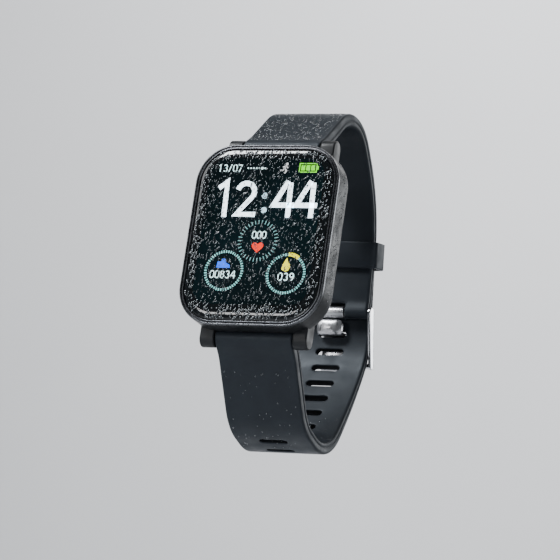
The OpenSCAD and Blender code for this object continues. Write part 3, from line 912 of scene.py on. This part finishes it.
# Each glyph is strokes in a box 1 high and about 0.6 wide
GLYPHS = {
    "0": [arc_points(0.3, 0.70, 0.25, 0, 180, 8) + arc_points(0.3, 0.30, 0.25, 180, 360, 8)
          + [(0.55, 0.70)]],
    "1": [[(0.03, 0.79), (0.25, 0.96), (0.25, 0.0)]],
    "2": [arc_points(0.30, 0.69, 0.24, 165, -25, 9) + [(0.08, 0.08), (0.62, 0.08)]],
    "3": [arc_points(0.28, 0.72, 0.22, 150, -80, 8), arc_points(0.28, 0.29, 0.24, 80, -150, 8)],
    "4": [[(0.44, 1.0), (0.08, 0.34), (0.66, 0.34)], [(0.51, 0.95), (0.51, 0.0)]],
    "7": [[(0.04, 0.93), (0.56, 0.93), (0.22, 0.0)]],
    "8": [arc_points(0.3, 0.74, 0.2, 0, 360, 12), arc_points(0.3, 0.28, 0.23, 0, 360, 12)],
    "9": [arc_points(0.3, 0.70, 0.24, 0, 360, 12), [(0.54, 0.70), (0.48, 0.30), (0.30, 0.02)]],
    "/": [[(0.10, 0.0), (0.46, 1.0)]],
}
# Lines of digits as (digits, x, z, height, weight, advance); x, z is the lower left corner
TIME_LINES = [(digit, x, 4.05, 9.05, 1.22, 0.0)
              for digit, x in (("1", -11.7), ("2", -7.1), ("4", 2.2), ("4", 8.0))]
SMALL_LINES = [("13/07", -12.6, 15.25, 1.85, 0.22, 1.24), ("000", -1.45, -1.15, 1.85, 0.24, 1.24),
               ("00834", -10.75, -10.95, 1.9, 0.23, 1.32), ("039", 6.6, -11.3, 1.95, 0.26, 1.45)]
DAYS = 7
LIT_DAY = 5
# Rings as (x, z, inner radius, outer radius, ticks, tick width, gap in degrees)
STEP_RING = (-7.3, -9.1, 4.35, 4.95, 48, 0.30, (0, 0))
FLAME_RING = (8.5, -9.6, 4.35, 4.95, 48, 0.30, (55, 90))
CENTRE_RING = (0.25, -1.7, 4.2, 5.1, 34, 0.18, (0, 0))
STEP_ICON = [(-9.3, -8.4), (-9.2, -6.9), (-8.3, -6.9), (-8.0, -6.2), (-7.3, -6.2), (-7.0, -7.2),
             (-6.0, -7.7), (-5.9, -8.4)]
FLAME_ICON = [(8.2, -9.1), (7.3, -8.6), (7.15, -7.8), (7.6, -7.1), (8.0, -6.2), (8.35, -5.7),
              (8.6, -6.6), (9.15, -7.2), (9.3, -8.0), (9.0, -8.8)]
BATTERY_FRAME = [(8.1, 15.3), (12.4, 15.3), (12.4, 17.4), (8.1, 17.4)]
BATTERY_TIP = [(12.55, 15.9), (12.9, 15.9), (12.9, 16.8), (12.55, 16.8)]
RUNNER_LIMBS = [([(4.7, 16.9), (4.3, 16.1), (4.8, 15.6), (4.4, 15.0)], 0.4),
                ([(4.3, 16.1), (3.8, 15.7), (3.3, 15.7)], 0.34),
                ([(3.8, 16.5), (4.5, 16.75), (5.2, 16.3)], 0.28)]


def write(parts, rows, slant=0.0):
    for digits, x, z, height, weight, advance in rows:
        for k, digit in enumerate(digits):
            for line in GLYPHS[digit]:
                points = [(x + k * advance + height * (px + slant * pz), z + height * pz)
                          for px, pz in line]
                stroke(parts, points, weight, closed=line[0] == line[-1])


def spoke(parts, cx, cz, r0, r1, degrees, width):
    d = np.array(unit(degrees))
    stroke(parts, [np.array([cx, cz]) + r0 * d, np.array([cx, cz]) + r1 * d], width)


def ring_ticks(parts, cx, cz, r0, r1, count, width, gap):
    for k in range(count):
        if not gap[0] < 360 * k / count < gap[1]:
            spoke(parts, cx, cz, r0, r1, 360 * k / count, width)


def battery_cell(parts, x):
    plate(parts, [(x, 15.7), (x + 1.0, 15.7), (x + 1.0, 17.0), (x, 17.0)])


def heart_outline(cx, cz, scale, steps=28):
    points = []
    for k in range(steps):
        t = 2 * math.pi * k / steps
        x = 16 * math.sin(t) ** 3
        z = 13 * math.cos(t) - 5 * math.cos(2 * t) - 2 * math.cos(3 * t) - math.cos(4 * t)
        points.append((cx + x * scale, cz + z * scale))
    return points


# Lit pieces as (piece, material, colour, strength, darkest share of the painted shade, shapes drawn with
# their values)
DIAL = [
    ("dial_time", "dial_white", (0.80, 0.93, 1.0), 2.4, 0.75, [(write, TIME_LINES, SLANT)]),
    ("dial_colon", "dial_pale_blue", (0.45, 0.68, 0.78), 0.9, 0.55,
     [(disc, 0.32, 9.4, 0.74), (disc, 0.56, 5.85, 0.74)]),
    ("dial_numbers", "dial_soft_white", (0.62, 0.85, 0.86), 1.5, 0.5,
     [(write, SMALL_LINES)] + [(disc, -5.0 + 0.72 * k, 16.2, 0.34 if k == LIT_DAY else 0.2, 10)
                               for k in range(DAYS)]),
    ("dial_rings", "dial_teal", (0.25, 0.62, 0.60), 0.55, 0.45,
     [(ring_ticks, *STEP_RING), (ring_ticks, *FLAME_RING)]),
    ("dial_centre_ring", "dial_dim_teal", (0.20, 0.42, 0.42), 0.35, 0.55,
     [(ring_ticks, *CENTRE_RING)]),
    ("dial_heart", "dial_red", (0.90, 0.03, 0.01), 0.75, 0.55,
     [(plate, heart_outline(0.35, -3.2, 0.092))]),
    ("dial_step_icon", "dial_blue", (0.01, 0.13, 0.95), 0.9, 0.55, [(plate, STEP_ICON)]),
    ("dial_flame", "dial_yellow", (0.85, 0.74, 0.02), 0.9, 0.55,
     [(plate, FLAME_ICON)] + [(spoke, 8.5, -9.5, 4.2, 5.1, 86 - 7 * k, 0.5) for k in range(5)]),
    ("dial_battery", "dial_green", (0.16, 0.72, 0.02), 0.8, 0.55,
     [(battery_cell, 8.5), (battery_cell, 9.75), (battery_cell, 11.0),
      (stroke, BATTERY_FRAME, 0.26, True), (plate, BATTERY_TIP)]),
    ("dial_runner", "dial_grey", (0.55, 0.55, 0.55), 0.7, 0.55,
     [(disc, 4.75, 17.3, 0.36, 12)] + [(stroke, *limb) for limb in RUNNER_LIMBS]),
]


def dial():
    back = Parts()
    plate(back, corner_arcs(DIAL_HALF_W - DIAL_CORNER, DIAL_LOW + DIAL_CORNER, DIAL_HIGH - DIAL_CORNER,
                            DIAL_CORNER, 8), DIAL_LIFT / 2, DIAL_T / 2)
    back.finish("dial_background", "case", SCREEN, smooth_faces=False)
    for name, look, colour, strength, dark, shapes in DIAL:
        parts = Parts()
        for shape, *values in shapes:
            shape(parts, *values)
        material = lit(look, colour, strength, dark)
        parts.finish(name, "case", material, smooth_faces=False)


# ---------------- buckle and keeper
def buckle_frame():
    """Two flat arms from the buckle bar to a round crossbar that swells where it meets them."""
    parts = Parts()
    turn = math.degrees(math.atan2(CROSSBAR_U, CROSSBAR_N))
    outline = arc_points(0, 0, ARM_PIVOT_R, turn + 90, turn + 270, 12)
    outline += arc_points(CROSSBAR_N, CROSSBAR_U, ARM_TIP_R, turn - 90, turn + 90, 10)
    for side in (-1, 1):
        x0, x1 = sorted((side * ARM_OUT, side * (ARM_OUT - ARM_T)))
        parts.prism(outline, x0, x1, at_buckle, 0.16, 3, 40)
    section = [(CROSSBAR_RN * c, CROSSBAR_RU * s) for c, s in arc_points(0, 0, 1, 0, 360, 20)[:-1]]
    half = ARM_OUT - ARM_T / 2
    stations = [-half, -half + 0.5, -half + SWELL_RUN, 0, half - SWELL_RUN, half - 0.5, half]
    verts = []
    for x in stations:
        swell = 1 + CROSSBAR_SWELL * smooth((abs(x) - half + SWELL_RUN) / SWELL_RUN)
        verts += [tuple(at_buckle(x, CROSSBAR_N + n * swell, CROSSBAR_U + u * swell)) for n, u in section]
    count, loops = len(section), len(stations)
    parts.add(verts, ring_faces(count, loops) + end_faces(count, loops))
    obj = parts.finish("buckle_frame_polished", "buckle_frame", STEEL, 45)
    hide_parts("buckle_frame")


def cushion(parts, x_half, u_low, u_high, n_low, n_high, crown, corner):
    """A pad with round corners and a crowned face on both sides, in the buckle bar's axes."""
    outline = corner_arcs(x_half - corner, u_low + corner, u_high - corner, corner, 6)
    mid_u, mid_n = (u_low + u_high) / 2, (n_low + n_high) / 2
    half_n = (n_high - n_low) / 2
    # Loops as (size of the outline, share of the half height), from the rim inwards
    layers = [(0.15, 1.0), (0.55, 0.96), (0.82, 0.72), (0.95, 0.36), (1.0, 0.0)]
    loops = layers + [(scale, -rise) for scale, rise in reversed(layers[:-1])]
    verts = []
    for scale, rise in loops:
        n = mid_n + rise * (half_n + crown * (1 - scale))
        verts += [tuple(at_buckle(scale * x, n, mid_u + scale * (u - mid_u))) for x, u in outline]
    count = len(outline)
    parts.add(verts, ring_faces(count, len(loops)) + end_faces(count, len(loops)))


def buckle_tongue():
    """A barrel on the bar, a pad below it, and a blade through the slot and down to the crossbar."""
    parts = Parts()
    barrel = arc_points(0, 0, TONGUE_BARREL_R, 0, 360, 28)[:-1]
    parts.prism(barrel, -TONGUE_HALF, TONGUE_HALF, at_buckle, 0.25, 3, 40)
    cushion(parts, TONGUE_HALF, -5.85, -1.75, -0.85, 0.55, 0.3, 1.7)
    riser = TONGUE_U
    end = CROSSBAR_U - 1.3
    top = BLADE_N + BLADE_T
    outline = [(0.0, riser + 0.4), (0.0, riser - 0.4), (BLADE_N - 0.2, riser - 0.4),
               (BLADE_N, riser - 0.75), (BLADE_N - 0.05, (riser + end) / 2), (BLADE_N, end + 0.3),
               (BLADE_N + 0.25, end), (top - 0.2, end + 0.05), (top, end + 0.5), (top, riser - 0.5),
               (top - 0.25, riser + 0.15), (BLADE_N + 0.2, riser + 0.4)]
    parts.prism(outline, -BLADE_HALF, BLADE_HALF, at_buckle, 0.18, 2, 50)
    obj = parts.finish("buckle_tongue_satin", "buckle_tongue", SATIN, 45)
    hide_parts("buckle_tongue")


def at_keeper(x, n, u):
    """From the keeper's own axes, a little askew on the strap, to the frame."""
    c, s = unit(KEEPER_TILT)
    return at_buckle(x, KEEPER_N + n * c - u * s, KEEPER_U + n * s + u * c)


def keeper_loop():
    """The loose loop: a rounded rectangle round both layers of the strap."""
    cx, cn = KEEPER_HALF_X - KEEPER_CORNER, KEEPER_HALF_N - KEEPER_CORNER
    ring = corner_arcs(cx, -cn, cn, KEEPER_CORNER, 6)
    outward = corner_arcs(0, 0, 0, 1, 6)
    r, wall = KEEPER_EDGE_R, KEEPER_WALL
    section = [(0, r), (0.04, 0.08), (r * 0.4, 0.02), (r, 0), (wall - r, 0), (wall - r * 0.4, 0.02),
               (wall - 0.04, 0.08), (wall, r)]
    section += [(w, KEEPER_L - d) for w, d in reversed(section)]
    verts = [tuple(at_keeper(x + w * dx, n + w * dn, d - KEEPER_L / 2))
             for (x, n), (dx, dn) in zip(ring, outward) for w, d in section]
    faces = ring_faces(len(section), len(ring), closed=True)
    obj = add_object("strap_keeper_loop", verts, faces, "keeper", RUBBER, 50)
    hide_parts("strap_keeper")


# ---------------- water beads
BEAD_SIDES = 8
# Loops of a bead as (share of its width, share of its height)
BEAD_RINGS = [(1.0, -0.02), (0.86, 0.45), (0.5, 0.85)]
# Height of a bead as a share of its width
GLASS_BEAD_RISE = 0.28
BEAD_RISE = 0.3
GLASS_BEADS = 2300
RIM_BEADS = 1100
# Shares of the glass beads that are left out over the dial, and that are long
DIAL_THINNING = 0.35
LONG_SHARE = 0.45


def bead(parts, place, normal, along, length, width, height):
    """A low dome of water, longer one way, on a surface."""
    n = Vector(normal).normalized()
    a = Vector(along)
    a = (a - n * a.dot(n)).normalized()
    b = n.cross(a)
    centre = Vector(place)
    verts = []
    for scale, lift in BEAD_RINGS:
        for k in range(BEAD_SIDES):
            t = 2 * math.pi * k / BEAD_SIDES
            spot = centre + a * (math.cos(t) * scale * length / 2) + b * (math.sin(t) * scale * width / 2)
            verts.append(tuple(spot + n * (lift * height)))
    top = len(verts)
    last = top - BEAD_SIDES
    verts.append(tuple(centre + n * height))
    faces = ring_faces(BEAD_SIDES, len(BEAD_RINGS))
    faces += [(last + k, last + (k + 1) % BEAD_SIDES, top) for k in range(BEAD_SIDES)]
    faces.append(tuple(range(BEAD_SIDES - 1, -1, -1)))
    parts.add(verts, faces)


def glass_beads():
    """Short and long beads on the glass, fewer over the dial than round it."""
    parts = Parts()
    half_x, half_z = CORE_X + GLASS_REACH, CORE_Z + GLASS_REACH
    wanted = GLASS_BEADS
    while wanted:
        x, z = RNG.uniform(-half_x, half_x), RNG.uniform(-half_z, half_z)
        dx, dz = max(abs(x) - CORE_X, 0), max(abs(z) - CORE_Z, 0)
        reach = math.hypot(dx, dz)
        if reach > GLASS_REACH - 0.3:
            continue
        on_dial = abs(x) < DIAL_HALF_W and DIAL_LOW < z < DIAL_HIGH
        if on_dial and RNG.random() < DIAL_THINNING:
            continue
        long_one = RNG.random() < LONG_SHARE
        size = RNG.uniform(0.15, 0.32) * (1.0 if on_dial else 1.4)
        length = size * (RNG.uniform(2.2, 4.8) if long_one else RNG.uniform(1.0, 1.9))
        tilt = math.radians(RNG.gauss(72, 18))
        bead(parts, (x, glass_y(reach) - 0.022, z), (0, -1, 0), (math.cos(tilt), 0, math.sin(tilt)),
             length, size, GLASS_BEAD_RISE * size)
        wanted -= 1
    parts.finish("water_on_glass", "case", WATER)


def rim_beads():
    """Finer beads on the side wall, except where it faces down."""
    parts = Parts()
    corners = [Vector(p) for p in rim_loop(CASE_CORNER, 0, 20)]
    count = len(corners)
    lengths = [(corners[(k + 1) % count] - corners[k]).length for k in range(count)]
    for _ in range(RIM_BEADS):
        k = RNG.choices(range(count), lengths)[0]
        spot = corners[k].lerp(corners[(k + 1) % count], RNG.random())
        normal = Vector((max(abs(spot.x) - CORE_X, 0) * math.copysign(1, spot.x), 0,
                         max(abs(spot.z) - CORE_Z, 0) * math.copysign(1, spot.z))).normalized()
        if normal.z < -0.35:
            continue
        y = RNG.uniform(CASE_FRONT_Y + 0.4, BACK_CURVE_Y)
        size = RNG.uniform(0.16, 0.36)
        bead(parts, (spot.x, y, spot.z), normal, (0, 1, 0.2), size * RNG.uniform(1, 1.5), size,
             BEAD_RISE * size)
    parts.finish("water_on_rim", "case", WATER)


def strap_beads(name, half, body, count, first, last, fade=None, inner=False):
    """Fine beads along a stretch of strap, on its outer or its inner face."""
    parts = Parts()
    side = -1 if inner else 1
    for _ in range(count):
        s = RNG.uniform(first, last)
        if fade and RNG.random() < smooth((s - fade[0]) / (fade[1] - fade[0])):
            continue
        x = RNG.uniform(-9.0, 9.0)
        point, out, forward = half.route.at(s)
        y, z = point - half.depths(s)[1 if inner else 0] * out
        size = RNG.uniform(0.18, 0.42)
        bead(parts, (x, y, z), (0, side * out[0], side * out[1]), (0.3, forward[0], forward[1]),
             size * RNG.uniform(1.0, 2.0), size, BEAD_RISE * size)
    parts.finish(name, body, WATER)


# ---------------- stage, lights and camera
# Sizes from here on are in metres
FLOOR_Z = -0.30
WALL_Y = 1.9
WALL_BEND_R = 0.5
STAGE_HALF_W = 4.0


def stage():
    """A pale floor that curves up into a pale wall."""
    bend = WALL_BEND_R
    profile = [(-4.0, FLOOR_Z), (-2.0, FLOOR_Z), (0.0, FLOOR_Z), (WALL_Y - bend, FLOOR_Z)]
    profile += arc_points(WALL_Y - bend, FLOOR_Z + bend, bend, -90, 0, 12)[1:]
    profile += [(WALL_Y, 1.5), (WALL_Y, 4.0)]
    verts = [(x, y, z) for y, z in profile for x in (-STAGE_HALF_W, STAGE_HALF_W)]
    faces = [(2 * k, 2 * k + 1, 2 * k + 3, 2 * k + 2) for k in range(len(profile) - 1)]
    mesh = bpy.data.meshes.new("floor")
    mesh.from_pydata(verts, [], faces)
    for poly in mesh.polygons:
        poly.use_smooth = True
    obj = bpy.data.objects.new("floor", mesh)
    bpy.context.scene.collection.objects.link(obj)
    look = Look("pale_floor", (0.62, 0.63, 0.65), 0.75)
    look.mottle(2.0, (0.60, 0.61, 0.63), (0.64, 0.65, 0.67))
    mesh.materials.append(look.mat)


WATCH = (0.0, 0.015, 0.0)
COOL = (0.95, 0.98, 1.0)
WHITE = (1, 1, 1)
# Rectangular lights as (name, place, what they point at, width, height, watts, colour)
LIGHTS = [
    ("key_left", (-0.60, -0.30, 0.45), WATCH, 0.30, 0.50, 2.2, COOL),
    ("side_right", (0.42, 0.85, 0.30), WATCH, 0.30, 0.30, 1.5, COOL),
    ("top", (0.05, 0.10, 0.75), WATCH, 0.35, 0.35, 1.7, WHITE),
    ("sparkle", (-0.50, -0.60, 0.70), WATCH, 0.26, 0.26, 13.0, COOL),
    ("sparkle_low", (0.10, -0.70, -0.22), WATCH, 0.30, 0.10, 1.2, COOL),
    ("fill_right", (0.80, -0.35, -0.05), WATCH, 0.25, 0.40, 1.6, COOL),
    ("front_low", (-0.42, -0.93, 0.03), WATCH, 0.34, 0.12, 2.2, WHITE),
    ("wall_wash", (-0.60, 1.20, 1.25), (-0.85, 1.90, 0.75), 0.9, 0.9, 24.0, WHITE),
    ("floor_wash", (0.0, 0.9, 0.7), (-0.2, 1.3, -0.3), 0.9, 0.9, 6.0, WHITE),
    ("rim_left", (-0.75, 0.36, 0.24), WATCH, 0.25, 0.50, 1.6, (0.93, 0.96, 1.0)),
]


def lights():
    for name, place, aim, width, height, power, colour in LIGHTS:
        data = bpy.data.lights.new(name, "AREA")
        data.shape = "RECTANGLE"
        data.size = width
        data.size_y = height
        data.energy = power
        data.color = colour
        obj = bpy.data.objects.new(name, data)
        bpy.context.scene.collection.objects.link(obj)
        obj.location = place
        obj.rotation_euler = (Vector(aim) - Vector(place)).to_track_quat("-Z", "Y").to_euler()
    world = bpy.data.worlds.new("studio")
    world.use_nodes = True
    background = world.node_tree.nodes["Background"]
    background.inputs["Color"].default_value = (0.80, 0.84, 0.88, 1.0)
    background.inputs["Strength"].default_value = 0.13
    bpy.context.scene.world = world


def camera():
    """The photographed view: slightly from the right and from below, rolled a little."""
    (azimuth_c, azimuth_s), (tilt_c, tilt_s), (roll_c, roll_s) = unit(24.86), unit(-16.12), unit(8.47)
    distance, focal_width, sensor_mm = 0.79316, 6.14409, 36.0
    target = Vector((7.23 * MM, FRONT_Y * MM, -11.06 * MM))
    back = Vector((azimuth_s * tilt_c, -azimuth_c * tilt_c, tilt_s))
    right = Vector((azimuth_c, azimuth_s, 0))
    up = back.cross(right)
    side = roll_c * right + roll_s * up
    top = -roll_s * right + roll_c * up
    data = bpy.data.cameras.new("camera")
    data.sensor_width = sensor_mm
    data.lens = sensor_mm * focal_width
    data.clip_start = 0.05
    data.clip_end = 30.0
    obj = bpy.data.objects.new("camera", data)
    bpy.context.scene.collection.objects.link(obj)
    basis = Matrix((side, top, back)).transposed().to_4x4()
    obj.matrix_world = Matrix.Translation(target + back * distance) @ basis
    bpy.context.scene.camera = obj


camera()
stage()
lights()
dress_cad_nodes()
case_shell()
bezel_ring()
cover_glass()
dial()
short = short_half()
long = long_half()
keeper_loop()
buckle_frame()
buckle_tongue()
glass_beads()
rim_beads()
strap_beads("water_on_top_bend", short, "strap_arch", 1100, 1.0, 34.0, fade=(16, 36))
strap_beads("water_on_lower_half", long, "strap_lower", 50, 52.0, 66.0, inner=True)
strap_beads("water_on_front", long, "strap_lower", 60, 72.0, 96.0)
